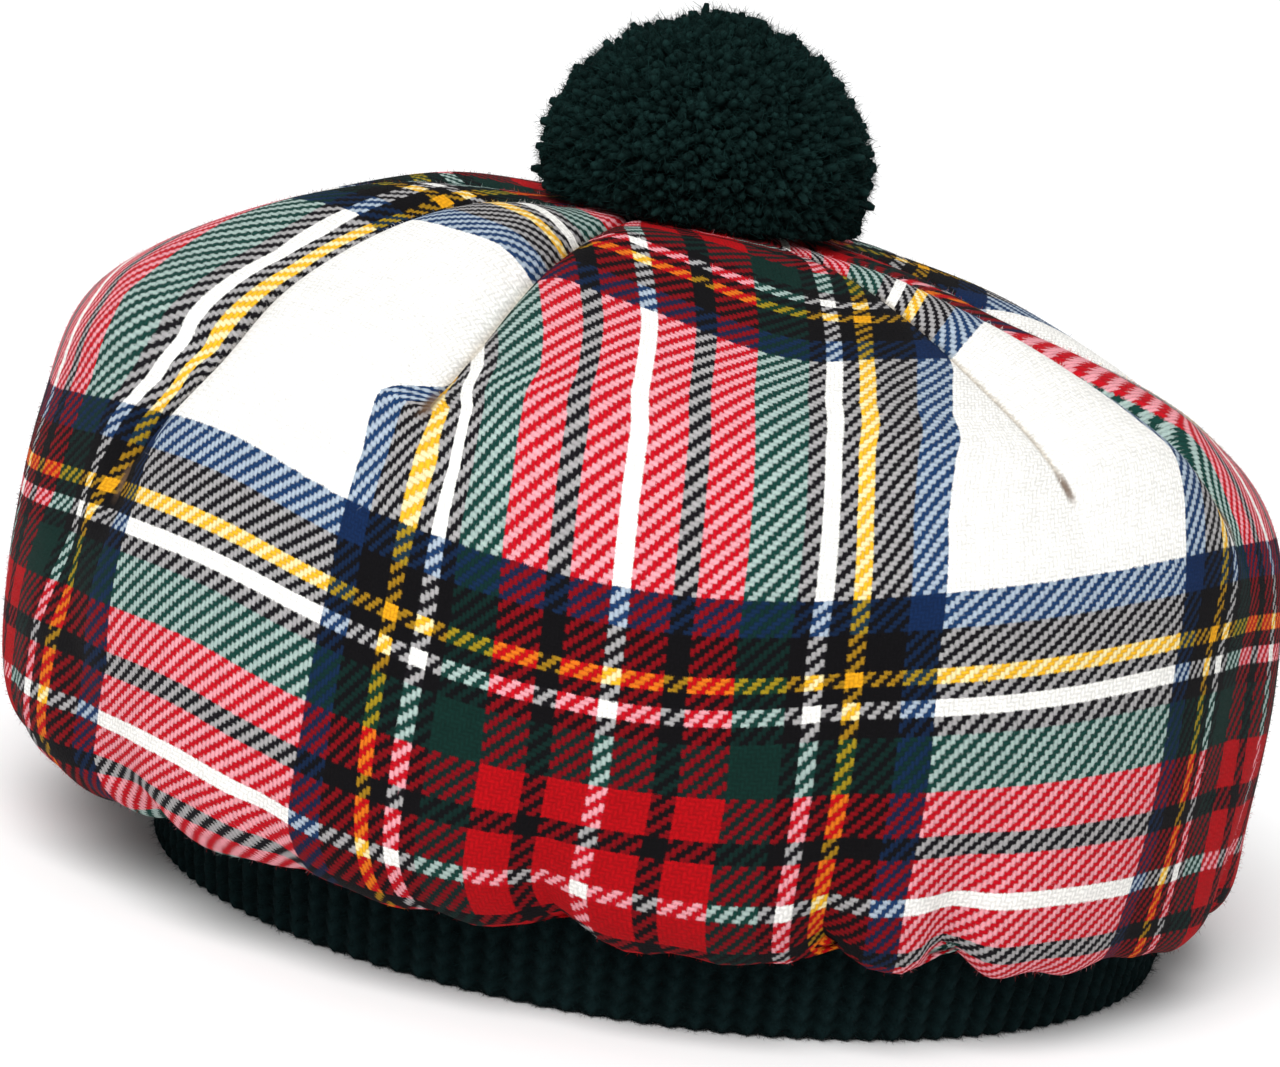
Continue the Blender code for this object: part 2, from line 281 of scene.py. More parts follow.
class ToorieSettings(bpy.types.PropertyGroup):
    """Cut yarn of the toorie."""

    strands: IntProperty(name="Strands", description="Number of yarn ends", default=4600, min=100)
    strand_width: length_property("Strand width", "Thickness of a yarn end", 0.0018)
    fibres: IntProperty(name="Fibres", description="Frayed fibres on each yarn end", default=12, min=0)
    colour: colour_property("Colour", "Pompom yarn", (0.004, 0.013, 0.012))


class StageSettings(bpy.types.PropertyGroup):
    """Floor, lights and camera."""

    floor: colour_property("Floor", "Floor colour", (0.93, 0.93, 0.93))
    sky: FloatProperty(name="Sky", description="Brightness all round", default=0.45, min=0)
    key: FloatProperty(name="Key light", description="Strength of the main light", default=3.6, min=0)
    distance: length_property("Distance", "Camera to the hat", 0.8)
    elevation: FloatProperty(
        name="Elevation", description="Camera above the horizon", subtype="ANGLE",
        default=math.radians(10.2))
    roll: FloatProperty(
        name="Roll", description="Tilt of the picture", subtype="ANGLE", default=math.radians(7.95))
    lens: FloatProperty(name="Lens", description="Focal length in millimetres", default=115.97)


class TamSettings(bpy.types.PropertyGroup):
    """All settings of the hat."""

    crown: PointerProperty(type=CrownSettings, description="Cloth of the crown")
    headband: PointerProperty(type=HeadbandSettings, description="Knitting of the headband")
    toorie: PointerProperty(type=ToorieSettings, description="Yarn of the toorie")
    stage: PointerProperty(type=StageSettings, description="Floor, lights and camera")


# Shape functions

def smooth_step(low, high, value):
    """0 below low, 1 above high, and 3t^2 - 2t^3 between."""
    t = np.clip((value - low) / (high - low), 0, 1)
    return t * t * (3 - 2 * t)


def angle_between(a, b):
    return (a - b + math.pi) % TAU - math.pi


def section_rows():
    """Radius and height of every row at the four sides, as an array of row, (radius, height), side."""
    under_out, under_up = (np.array([row[i] for row in UNDERSIDE]) for i in (0, 1))
    top_out, top_up = (np.array([row[i] for row in TOPSIDE]) for i in (0, 1))
    band = HEAD_RADIUS + BAND_THICKNESS
    hang = band + CLOTH
    radius = np.vstack([
        np.full((1, 4), HEAD_RADIUS + HEM_INSET),
        np.full((1, 4), band + HEM_LAP),
        hang + under_out * (RIM_RADIUS - hang),
        top_out * RIM_RADIUS,
        np.full((1, 4), SEAT_RADIUS),
    ])
    rise = np.vstack([np.zeros((2, 4)), under_up, top_up, np.ones((1, 4))])
    return np.stack([radius, BAND_HEIGHT + SEAM_GAP + CROWN_RISE * rise], axis=1)


def through_points(rows, at):
    """Catmull-Rom curve through the rows, and its slope, at any array of row numbers."""
    padded = np.concatenate([[2 * rows[0] - rows[1]], rows, [2 * rows[-1] - rows[-2]]])
    low = np.clip(np.floor(at).astype(int), 0, len(rows) - 2)
    t = (at - low).reshape(at.shape + (1,) * (rows.ndim - 1))
    a, b, c, d = (padded[low + i] for i in range(4))
    curve = b + 0.5 * t * (c - a + t * (2 * a - 5 * b + 4 * c - d + t * (3 * (b - c) + d - a)))
    slope = 0.5 * (c - a) + t * (2 * a - 5 * b + 4 * c - d) + 1.5 * t * t * (3 * (b - c) + d - a)
    return curve, slope


def round_the_hat(sides, azimuth):
    """Mean, first harmonic and second harmonic of the values at the front, right, back and left."""
    front, right, back, left = (sides[..., i] for i in range(4))
    return (
        (front + right + back + left) / 4
        + (front - back) / 2 * np.cos(azimuth)
        + (right - left) / 2 * np.sin(azimuth)
        + (front + back - right - left) / 4 * np.cos(2 * azimuth)
    )


def dart_azimuths(row):
    """Azimuth of every dart, and of the first again after a full turn, on a smooth curve from row 7 on."""
    paths = np.radians([azimuths for _, _, azimuths in DARTS]).T
    azimuth = through_points(paths, np.clip(row - 7, 0, 4))[0]
    return np.concatenate([azimuth, azimuth[..., :1] + TAU], axis=-1)


def azimuth_of(column, row):
    """Whole column numbers lie on the darts and the rest are shared out between them."""
    marks = dart_azimuths(row)
    gore = np.clip(np.floor(column).astype(int), 0, GORES - 1)
    low = np.take_along_axis(marks, gore[..., None], -1)[..., 0]
    high = np.take_along_axis(marks, gore[..., None] + 1, -1)[..., 0]
    return low + (high - low) * (column - gore)


def dart_marks(azimuth, row, radius):
    """Two masks from 0 to 1. The first, a narrow bell across the sewn line of each dart from its tip to the
    middle, is the cream-brown seam line with painted shade in its groove. The second, a flat-topped spot at
    each tip, longer along the dart than across it, is the painted shadow of the tip's pucker."""
    seam_shaded, tip_shadowed = np.zeros((2,) + azimuth.shape)
    marks = dart_azimuths(row)
    for i, (tip, _, _) in enumerate(DARTS):
        across = radius * angle_between(azimuth, marks[..., i])
        sewn = np.exp(-((across / CREASE_WIDTH) ** 2)) * smooth_step(tip, tip + 0.2, row)
        seam_shaded = np.maximum(seam_shaded, sewn)
        # Painted shadow of the pucker at the dart's tip
        spot = np.exp(-((across / TIP_SHADOW_WIDTH) ** 4) - ((row - tip - 0.03) / TIP_SHADOW_ROWS) ** 4)
        tip_shadowed = np.maximum(tip_shadowed, spot)
    return seam_shaded, tip_shadowed


def relief(column, azimuth, row, radius):
    """How far the cloth stands out from the smooth section: a puff between darts, |sin|^0.8, less a bell
    for each dart, its sewn line, its tip, each pucker and each fold."""
    inside_seat = 1 - smooth_step(10, 11, row)
    puff = np.abs(np.sin(math.pi * (column % 1))) ** 0.8
    height = PUFF_HEIGHT * smooth_step(6.0, 9.0, row) * inside_seat * puff

    def lower(depth, across, width, along):
        """Takes a bell across a line off the height."""
        nonlocal height
        height = height - depth * np.exp(-((across / width) ** 2)) * along

    marks = dart_azimuths(row)
    for i, (tip, depth, _) in enumerate(DARTS):
        across = radius * angle_between(azimuth, marks[..., i])
        lower(depth * DART_DEPTH, across, DART_WIDTH, smooth_step(tip - 0.8, tip + 0.8, row) * inside_seat)
        lower(depth * STITCH_DEPTH, across, STITCH_WIDTH, smooth_step(tip, tip + 0.4, row))
        lower(depth * TIP_DEPTH, across, TIP_WIDTH, np.exp(-(((row - tip) / 0.5) ** 2)))
    for centre, depth, width in PUCKERS:
        across = radius * angle_between(azimuth, math.radians(centre))
        along = smooth_step(1.2, 2.4, row) * (1 - smooth_step(3.5, 6.0, row))
        lower(depth * PUCKER_DEPTH, across, width * PUCKER_WIDTH, along)
    for first, first_row, second, second_row, depth, width in FOLDS:
        share_up = np.clip((row - first_row) / (second_row - first_row), 0, 1)
        across = radius * angle_between(azimuth, np.radians(first + (second - first) * share_up))
        along = smooth_step(first_row - 1, first_row + 0.5, row)
        along = along * (1 - smooth_step(second_row - 0.5, second_row + 1, row))
        lower(depth * FOLD_DEPTH, across, width * FOLD_WIDTH, along)
    return height


def ripple(azimuth, row, size):
    """Small uneven waves: gathers that fade out above the headband, and a slow swell over the rest."""
    gather = np.sin(41 * azimuth + 1.7 * np.sin(3 * azimuth) + 0.8 * np.sin(7 * azimuth + 1))
    gather = gather * smooth_step(1.1, 2.2, row) * (1 - smooth_step(2.6, 4.6, row))
    swell = np.sin(9 * azimuth + 1.3 * row + 0.7) + 0.7 * np.sin(14 * azimuth - 2.1 * row + 2.0)
    swell = swell + 0.6 * np.sin(5 * azimuth + 3.1 * row)
    swell = swell * smooth_step(3.0, 5.0, row) * (1 - smooth_step(9.5, 11, row))
    return size * (1.1 * gather + 0.45 * swell)


def crown_point(column, row, waviness, depth=0.0):
    """Point of the crown at a column and row, depth inside its outer face, with its azimuth and radius."""
    azimuth = azimuth_of(column, row)
    curve, slope = through_points(section_rows(), row)
    radius, height = (round_the_hat(curve[..., i, :], azimuth) for i in (0, 1))
    along_radius, along_height = (round_the_hat(slope[..., i, :], azimuth) for i in (0, 1))
    length = np.hypot(along_radius, along_height)
    shift = BAND_SHIFT * (1 - smooth_step(1, 5, row))
    lift = relief(column, azimuth, row, radius) + ripple(azimuth, row, waviness) - depth
    out = radius + lift * along_height / length
    up = height - lift * along_radius / length
    x = shift + out * np.sin(azimuth)
    tilted = -math.tan(SEAT_TILT) * x * smooth_step(7, 10, row)
    return np.stack([x, -out * np.cos(azimuth), up + tilted], axis=-1), azimuth, radius


def path_length(row):
    """Length along the mean section from row 5, for any array of rows, from 400 steps."""
    at = np.linspace(0, 11, 401)
    curve = through_points(section_rows(), at)[0].mean(axis=2)
    steps = np.linalg.norm(np.diff(curve, axis=0), axis=1)
    length = np.concatenate([[0], np.cumsum(steps)])
    return np.interp(row, at, length - np.interp(5.0, at, length))


def weft_at(azimuth, row):
    """Number of the weft at a point: evenly between the known wefts, and THREAD apart beyond them. The rows
    of the known wefts are joined round the hat by straight pieces and blurred by a bell of 4 degrees."""
    table = np.array(WEFT_ROWS)
    around = np.radians(np.concatenate([table[-3:, 0] - 360, table[:, 0], table[:3, 0] + 360]))
    known = np.concatenate([table[-3:, 1:], table[:, 1:], table[:3, 1:]])
    fine = np.radians(np.arange(JOIN, JOIN + 360, 1.0))
    blur = np.exp(-0.5 * (np.arange(-12, 13) / 4.0) ** 2)
    blur = blur / blur.sum()
    turned = (azimuth - fine[0]) % TAU + fine[0]
    length = path_length(row)
    knots = []
    for i in range(len(WEFTS)):
        line = np.interp(fine, around, known[:, i])
        line = np.convolve(np.concatenate([line[-12:], line, line[:12]]), blur, mode="valid")
        rows = np.interp(turned, np.append(fine, fine[0] + TAU), np.append(line, line[0]))
        knots.append(path_length(rows))
    weft = WEFTS[0] + np.minimum(length - knots[0], 0) / THREAD + np.maximum(length - knots[-1], 0) / THREAD
    for low, high, first, last in zip(knots, knots[1:], WEFTS, WEFTS[1:]):
        weft = weft + (last - first) * np.clip((length - low) / (high - low), 0, 1)
    return weft


def sheet_warp(azimuth, row):
    """Number of the warp on the uncut sheet: straight pieces between the known warps, round and then up."""
    table = np.array(WARPS)
    turned = np.degrees((azimuth - math.radians(JOIN)) % TAU) + JOIN
    turned = np.where(np.degrees(azimuth) > JOIN + 359.9, JOIN + 360, turned)
    knots = [np.interp(turned, table[:, i + 1], table[:, 0]) for i in range(len(WARP_ROWS))]
    place = np.interp(row, WARP_ROWS, np.arange(len(WARP_ROWS)))
    return sum(knot * np.clip(1 - np.abs(place - i), 0, 1) for i, knot in enumerate(knots))


def gore_warp(gore, share, row):
    """Number of the warp inside a gore: straight pieces between the known shares, and between the rows."""
    table = np.array(GORE_WARPS, float)
    place = np.interp(row, GORE_ROWS, np.arange(len(GORE_ROWS)))
    low = np.minimum(place.astype(int), len(GORE_ROWS) - 2)
    across = np.interp(share, GORE_SHARES, np.arange(len(GORE_SHARES)))
    column = np.minimum(across.astype(int), len(GORE_SHARES) - 2)
    s, t = across - column, place - low
    below = table[gore, low, column] * (1 - s) + table[gore, low, column + 1] * s
    above = table[gore, low + 1, column] * (1 - s) + table[gore, low + 1, column + 1] * s
    return below * (1 - t) + above * t


def warp_at(gore, share, azimuth, row):
    """Number of the warp at a point. Below the darts it is the sheet's. From a dart's tip up to the first
    of GORE_ROWS the warps beside the dart slide, by share^7 of the gore, towards those that its seam
    takes in. From SHEET_END up to that row each gore goes over to its own."""
    sheet = sheet_warp(azimuth, row)
    marks = dart_azimuths(row)
    tips = np.array([dart[0] for dart in DARTS] + [DARTS[0][0]])
    end = GORE_ROWS[0]
    for side, inside in ((0, 1e-6), (1, -1e-6)):
        edge = np.take_along_axis(marks, (gore + side)[..., None], -1)[..., 0] + inside
        tip = tips[gore + side]
        slid = np.clip((row - tip) / (end - tip), 0, 1) ** 0.7
        taken = gore_warp(gore, np.full(share.shape, float(side)), np.full(row.shape, end))
        near = share if side else 1 - share
        sheet = sheet + (taken - sheet_warp(edge, row)) * slid * near ** 7
    own = smooth_step(SHEET_END, end, row)
    return sheet * (1 - own) + gore_warp(gore, share, row) * own


# Meshes

def ring_quads(rings, columns, first=0):
    """Quads between neighbouring closed rings, facing out when the rings go up and the columns go round."""
    ring, column = np.meshgrid(np.arange(rings - 1), np.arange(columns), indexing="ij")
    low, high = ring * columns, (ring + 1) * columns
    after = (column + 1) % columns
    quads = np.stack([low + column, low + after, high + after, high + column], axis=-1)
    return quads.reshape(-1, 4) + first


def unit(vectors):
    """Rows of an array of vectors, each brought to length 1."""
    return vectors / (np.linalg.norm(vectors, axis=1, keepdims=True) + 1e-9)


def add_mesh(name, points, faces, material, corner_uv=None, values=None):
    """A smooth mesh object at the origin, from points and faces, with a UV map and point attributes."""
    mesh = bpy.data.meshes.new(name)
    mesh.from_pydata(points.reshape(-1, 3).tolist(), [], faces)
    mesh.shade_smooth()
    if corner_uv is not None:
        layer = mesh.uv_layers.new(name="threads")
        layer.data.foreach_set("uv", np.ascontiguousarray(corner_uv, np.float32).ravel())
    for key, value in (values or {}).items():
        attribute = mesh.attributes.new(key, "FLOAT", "POINT")
        attribute.data.foreach_set("value", np.ascontiguousarray(value, np.float32).ravel())
    mesh.materials.append(material)
    piece = bpy.data.objects.new(name, mesh)
    bpy.context.scene.collection.objects.link(piece)
    return piece


def dress(piece, slot, *nodes):
    """The piece moves with the hat and stands for the nodes, whose parts it hides. The slot is not used."""
    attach(piece, "root")
    if nodes:
        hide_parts(*nodes)


def fibres(random, root, normal, length, width, lean, curl):
    """Loose fibres as tapering ribbons: root, bent middle and tip, leaning off the normal by a random way.

    Returns points of shape (n, 5, 3) and faces, a quad and a triangle for each fibre."""
    n = len(root)
    away = random.normal(size=(n, 3))
    away = unit(away - (away * normal).sum(1, keepdims=True) * normal)
    out = unit(normal + lean * random.random((n, 1)) * away)
    side = unit(np.cross(out, random.normal(size=(n, 3))))
    bend = np.cross(out, side)
    length = length * (0.5 + random.random((n, 1)))
    half = side * width / 2
    foot = root - 0.15 * length * normal
    middle = root + 0.5 * length * out + 0.5 * curl * length * bend * random.uniform(-1, 1, (n, 1))
    tip = root + length * out + curl * length * bend * random.uniform(-1.5, 1.5, (n, 1))
    points = np.stack([foot - half, foot + half, middle + half * 0.8, middle - half * 0.8, tip], axis=1)
    base = np.arange(n)[:, None] * 5
    return points, (base + np.array([0, 1, 2, 3])).tolist() + (base + np.array([3, 2, 4])).tolist()


def scatter(random, points, quads, count):
    """Random places on a mesh of quads, even over its area: face number, two shares, place and normal."""
    corners = points.reshape(-1, 3)[quads]
    across = np.cross(corners[:, 2] - corners[:, 0], corners[:, 3] - corners[:, 1])
    area = np.linalg.norm(across, axis=1) / 2
    pick = random.choice(len(quads), size=count, p=area / area.sum())
    s, t = random.random((2, count, 1))
    a, b, c, d = (corners[pick, i] for i in range(4))
    place = (1 - t) * ((1 - s) * a + s * b) + t * ((1 - s) * d + s * c)
    normal = across[pick] / (2 * area[pick][:, None] + 1e-12)
    return pick, s, t, place, normal


# Materials

def node(tree, kind, inputs=(), **settings):
    """A node with its settings and its inputs, each a value or a socket to link from."""
    made = tree.nodes.new(kind)
    for key, value in settings.items():
        setattr(made, key, value)
    for key, value in dict(inputs).items():
        if isinstance(value, bpy.types.NodeSocket):
            tree.links.new(value, made.inputs[key])
        else:
            made.inputs[key].default_value = value
    return made


def maths(tree, operation, *values):
    """Output of a Math node."""
    return node(tree, "ShaderNodeMath", dict(enumerate(values)), operation=operation).outputs[0]


def blend_colours(tree, factor, first, second, kind="MIX"):
    """Output of a Mix Color node."""
    made = node(tree, "ShaderNodeMix", {"Factor": factor}, data_type="RGBA", blend_type=kind)
    for name, value in (("A", first), ("B", second)):
        socket = [s for s in made.inputs if s.name == name and s.type == "RGBA"][0]
        if isinstance(value, bpy.types.NodeSocket):
            tree.links.new(value, socket)
        else:
            socket.default_value = value
    return [s for s in made.outputs if s.type == "RGBA"][0]


def shaded(tree, colour, factor):
    """The colour times a number."""
    grey = node(tree, "ShaderNodeCombineColor", dict.fromkeys(("Red", "Green", "Blue"), factor)).outputs[0]
    return blend_colours(tree, 1.0, colour, grey, "MULTIPLY")


def bumped(tree, shader, strength, height):
    """Puts the height on the shader's normal."""
    bump = node(tree, "ShaderNodeBump", {"Strength": strength, "Distance": BUMP_DISTANCE, "Height": height})
    tree.links.new(bump.outputs["Normal"], shader.inputs["Normal"])


def new_group(name, inputs, outputs):
    """An empty shader node group with named sockets, and its input and output nodes."""
    group = bpy.data.node_groups.new(name, "ShaderNodeTree")
    for socket, kind, value in inputs:
        made = group.interface.new_socket(socket, in_out="INPUT", socket_type=kind)
        if value is not None:
            made.default_value = value
    for socket, kind in outputs:
        group.interface.new_socket(socket, in_out="OUTPUT", socket_type=kind)
    return group, group.nodes.new("NodeGroupInput"), group.nodes.new("NodeGroupOutput")


def wool_group():
    """Short wool fibres: a fine stretched noise that lightens and darkens a colour, and a height."""
    group, given, result = new_group(
        "wool_fibres",
        [("Vector", "NodeSocketVector", None), ("Scale", "NodeSocketFloat", 900.0),
         ("Contrast", "NodeSocketFloat", 0.5), ("Colour", "NodeSocketColor", (0.5, 0.5, 0.5, 1.0))],
        [("Colour", "NodeSocketColor"), ("Height", "NodeSocketFloat")],
    )
    calc = partial(maths, group)
    fine = node(group, "ShaderNodeTexNoise", {
        "Vector": given.outputs["Vector"], "Scale": given.outputs["Scale"], "Detail": 3.0,
        "Roughness": 0.65, "Distortion": 0.8}).outputs["Fac"]
    broad_scale = calc("MULTIPLY", given.outputs["Scale"], 0.12)
    broad = node(group, "ShaderNodeTexNoise", {
        "Vector": given.outputs["Vector"], "Scale": broad_scale, "Detail": 2.0}).outputs["Fac"]
    mixed = calc("MULTIPLY_ADD", fine, 0.7, calc("MULTIPLY", broad, 0.3))
    swing = calc("MULTIPLY", calc("SUBTRACT", mixed, 0.5), given.outputs["Contrast"])
    factor = calc("MAXIMUM", calc("MULTIPLY_ADD", swing, 4.0, 1.0), 0.12)
    group.links.new(shaded(group, given.outputs["Colour"], factor), result.inputs["Colour"])
    group.links.new(fine, result.inputs["Height"])
    return group


def sett_ramp(tree, threads, settings):
    """Colour of a thread from its number, with hard steps, mirrored at both ends of the half sett."""
    share = maths(tree, "DIVIDE", maths(tree, "PINGPONG", threads, HALF_SETT), HALF_SETT)
    ramp = node(tree, "ShaderNodeValToRGB", {"Fac": share})
    ramp.color_ramp.interpolation = "CONSTANT"
    stops = ramp.color_ramp.elements
    start = 0.0
    while len(stops) > 1:
        stops.remove(stops[-1])
    for i, (end, name) in enumerate(SETT):
        stop = stops[0] if i == 0 else stops.new(start / HALF_SETT)
        stop.position = start / HALF_SETT
        stop.color = (*getattr(settings, name), 1.0)
        start = end
    return ramp.outputs["Color"]


def tartan_group(settings):
    """Two-up two-down twill of the sett both ways. UV is (warp, weft) in threads.

    A warp is on top where (warp - weft) mod 4 is under 2. Each float swells along its two threads."""
    group, given, result = new_group(
        "tartan_twill",
        [("UV", "NodeSocketVector", None), ("Fray", "NodeSocketFloat", 0.2),
         ("Fuzz", "NodeSocketFloat", 0.5), ("Tint", "NodeSocketFloat", 0.5)],
        [("Colour", "NodeSocketColor"), ("Height", "NodeSocketFloat")],
    )
    calc = partial(maths, group)
    uv = given.outputs["UV"]
    moved = uv
    for scale, amount in ((1.3, "Fray"), (5.0, "Fuzz")):
        noise = node(group, "ShaderNodeTexNoise", {"Vector": uv, "Scale": scale, "Detail": 2.0})
        centred = node(group, "ShaderNodeVectorMath", {
            0: noise.outputs["Color"], 1: (0.5, 0.5, 0.5)}, operation="SUBTRACT")
        scaled = node(group, "ShaderNodeVectorMath", {
            0: centred.outputs[0], "Scale": given.outputs[amount]}, operation="SCALE")
        moved = node(group, "ShaderNodeVectorMath", {0: moved, 1: scaled.outputs[0]}).outputs[0]
    split = node(group, "ShaderNodeSeparateXYZ", {0: moved})
    u, v = split.outputs[0], split.outputs[1]
    warp, weft = calc("FLOOR", u), calc("FLOOR", v)
    place = calc("WRAP", calc("SUBTRACT", warp, weft), 4.0, 0.0)
    warp_up = calc("LESS_THAN", place, 1.5)
    warp_colour = sett_ramp(group, calc("ADD", warp, 0.5), settings)
    weft_colour = sett_ramp(group, calc("ADD", weft, 0.5), settings)
    on_top = blend_colours(group, warp_up, weft_colour, warp_colour)
    crossed = blend_colours(group, warp_up, warp_colour, weft_colour)
    crossed = node(group, "ShaderNodeGamma", {"Color": crossed, "Gamma": 0.4}).outputs["Color"]
    colour = blend_colours(group, given.outputs["Tint"], on_top, crossed, "MULTIPLY")

    def swell(along, across):
        """High in the middle of the thread and of its float: 1 - (2a - 1)^2 times a part of sin(pi * s)."""
        side = calc("MULTIPLY_ADD", calc("FRACT", across), 2.0, -1.0)
        crown = calc("SUBTRACT", 1.0, calc("MULTIPLY", side, side))
        share = calc("MULTIPLY", calc("WRAP", along, 4.0, 0.0), 0.5)
        arch = calc("SINE", calc("MULTIPLY", share, math.pi))
        arch = calc("MULTIPLY_ADD", calc("MAXIMUM", arch, 0.0), 0.55, 0.45)
        return calc("MULTIPLY", crown, arch)

    weft_up = calc("SUBTRACT", 1.0, warp_up)
    warp_height = swell(calc("ADD", calc("SUBTRACT", warp, v), 1.0), u)
    weft_height = swell(calc("SUBTRACT", calc("SUBTRACT", u, weft), 2.0), v)
    height = calc("MULTIPLY_ADD", warp_up, warp_height, calc("MULTIPLY", weft_up, weft_height))
    number = node(group, "ShaderNodeCombineXYZ", {
        0: calc("MULTIPLY", warp, warp_up), 1: calc("MULTIPLY", weft, weft_up)}).outputs[0]
    threads = node(group, "ShaderNodeTexWhiteNoise", {"Vector": number}).outputs["Value"]
    # Painted shade from the height: darker between the threads and towards the ends of each float; the
    # white noise adds a random tone to each thread
    shade = calc("MULTIPLY_ADD", height, 0.34, 0.62)
    shade = calc("MULTIPLY_ADD", threads, 0.10, shade)
    group.links.new(shaded(group, colour, shade), result.inputs["Colour"])
    group.links.new(height, result.inputs["Height"])
    return group


def principled(name, roughness, specular=0.12):
    """A material with only a Principled shader and its constant values."""
    material = bpy.data.materials.new(name)
    material.use_nodes = True
    tree = material.node_tree
    shader = tree.nodes["Principled BSDF"]
    shader.inputs["Roughness"].default_value = roughness
    shader.inputs["Specular IOR Level"].default_value = specular
    return material, tree, shader


def placed(tree, group, inputs):
    """A node group with its inputs, each a value or a socket to link from."""
    return node(tree, "ShaderNodeGroup", inputs, node_tree=group)


def shared_group(name, build, *values):
    """The node group of that name, built the first time it is asked for."""
    return bpy.data.node_groups.get(name) or build(*values)


def tartan_material(settings, name, nap=False):
    """Tartan cloth: twill, wool fibres, a cream-brown seam line with painted shade along each dart, and a
    painted brown shadow of the pucker at each dart's end.
    """
    material, tree, shader = principled(name, 0.9)
    threads = node(tree, "ShaderNodeUVMap", uv_map="threads").outputs["UV"]
    twill = placed(tree, shared_group("tartan_twill", tartan_group, settings), {
        "UV": threads, "Fray": FRAY, "Fuzz": FUZZ, "Tint": settings.tint})
    place = node(tree, "ShaderNodeTexCoord").outputs["Object"]
    wool = placed(tree, shared_group("wool_fibres", wool_group), {
        "Vector": place, "Scale": 2600.0, "Contrast": 0.16, "Colour": twill.outputs["Colour"]})
    colour = wool.outputs["Colour"]
    if not nap:
        # Cream-brown seam line with painted shade along each dart
        seam_shaded = node(tree, "ShaderNodeAttribute", attribute_name="seam_shade").outputs["Fac"]
        # Painted shadow of the pucker at each dart's tip
        tip_shadowed = node(tree, "ShaderNodeAttribute", attribute_name="tip_shadow").outputs["Fac"]
        colour = blend_colours(
            tree, maths(tree, "MULTIPLY", seam_shaded, 0.7), colour, SEAM_SHADE_TINT, "MULTIPLY")
        colour = blend_colours(tree, maths(tree, "MULTIPLY", tip_shadowed, 0.9), colour, TIP_SHADOW_COLOUR)
        height = maths(tree, "MULTIPLY_ADD", wool.outputs["Height"], 0.35, twill.outputs["Height"])
        bumped(tree, shader, 0.42, height)
    tree.links.new(colour, shader.inputs["Base Color"])
    return material


def yarn_material(name, colour, scale, contrast, light, shaded_points):
    """Dark wool yarn: uneven fibres, and a colour that the points' shade blends from a quarter of the
    colour up to
    light times it: painted shade in hollows and deep in, painted light on ribs and tips, random tone on
    loose fibres.
    """
    material, tree, shader = principled(name, 0.95, 0.04)
    place = node(tree, "ShaderNodeTexCoord").outputs["Object"]
    base = (*colour, 1.0)
    if shaded_points:
        share = node(tree, "ShaderNodeAttribute", attribute_name="shade").outputs["Fac"]
        # Painted shade where the shade is 0 and painted light where it is 1, on the knitting and the yarn
        # ends
        deep = (*(c * 0.25 for c in colour), 1.0)
        base = blend_colours(tree, share, deep, (*(c * light for c in colour), 1.0))
    wool = placed(tree, shared_group("wool_fibres", wool_group), {
        "Vector": place, "Scale": scale, "Contrast": contrast, "Colour": base})
    bumped(tree, shader, 0.6, wool.outputs["Height"])
    tree.links.new(wool.outputs["Colour"], shader.inputs["Base Color"])
    return material


def add_yarn(name, slot, points, faces, shade, finish, *nodes):
    """A dressed piece of dark yarn. Shade is a number for each point, or None. Finish is a material's name,
    colour, scale, contrast and the lightness where the shade is 1, which is painted light at the tips and
    the ribs."""
    material = yarn_material(*finish, shade is not None)
    values = None if shade is None else {"shade": shade}
    dress(add_mesh(name, points, faces, material, values=values), slot, *nodes)


# Pieces

def crown_columns(count):
    """Shares between two darts, closer together by the darts: t - 0.78 sin(2 pi t) / (2 pi)."""
    t = np.arange(count + 1) / count
    return t - 0.78 * np.sin(TAU * t) / TAU


def crown_row_numbers(count):
    """Row numbers from hem to seat, closer together in the underside."""
    return np.interp(np.linspace(0, 1, count), (0.0, 0.06, 0.36, 0.62, 1.0), (0.0, 1.0, 4.2, 7.2, 11.0))


def crown_uv(rows, shares):
    """(warp, weft) at every row, gore and share of the gore, both darts included."""
    row, gore, share = np.meshgrid(rows, np.arange(GORES), shares, indexing="ij")
    azimuth = azimuth_of(gore + share, row)
    return np.stack([warp_at(gore, share, azimuth, row), weft_at(azimuth, row)], axis=-1)


def corner_uvs(uv):
    """UV of the four corners of every quad between the rows, in the order of ring_quads."""
    a, b = uv[:-1, :, :-1], uv[:-1, :, 1:]
    c, d = uv[1:, :, 1:], uv[1:, :, :-1]
    return np.stack([a, b, c, d], axis=-2).reshape(-1, 4, 2)


